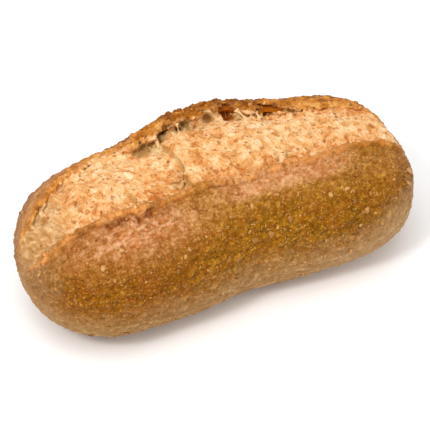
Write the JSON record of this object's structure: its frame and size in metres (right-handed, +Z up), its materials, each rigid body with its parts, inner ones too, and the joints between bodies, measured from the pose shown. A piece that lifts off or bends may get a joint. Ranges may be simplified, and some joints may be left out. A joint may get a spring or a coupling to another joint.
{
  "type": "country bread roll",
  "caption": "Oval wholemeal country bread roll with a lengthways slash, pale open crumb, torn ear, browned flaky crust and a flat foot.",
  "frame": {"origin": "on the floor under the roll, at the middle of its bounding box", "axes": "+X along the roll, -Y towards the long front crust below the slash's lip, +Z up"},
  "size_m": [0.15, 0.077, 0.0549],
  "materials": {
    "baked_crust": "satin"
  },
  "bodies": {
    "root": {"roll": "baked_crust"}
  },
  "joints": []
}
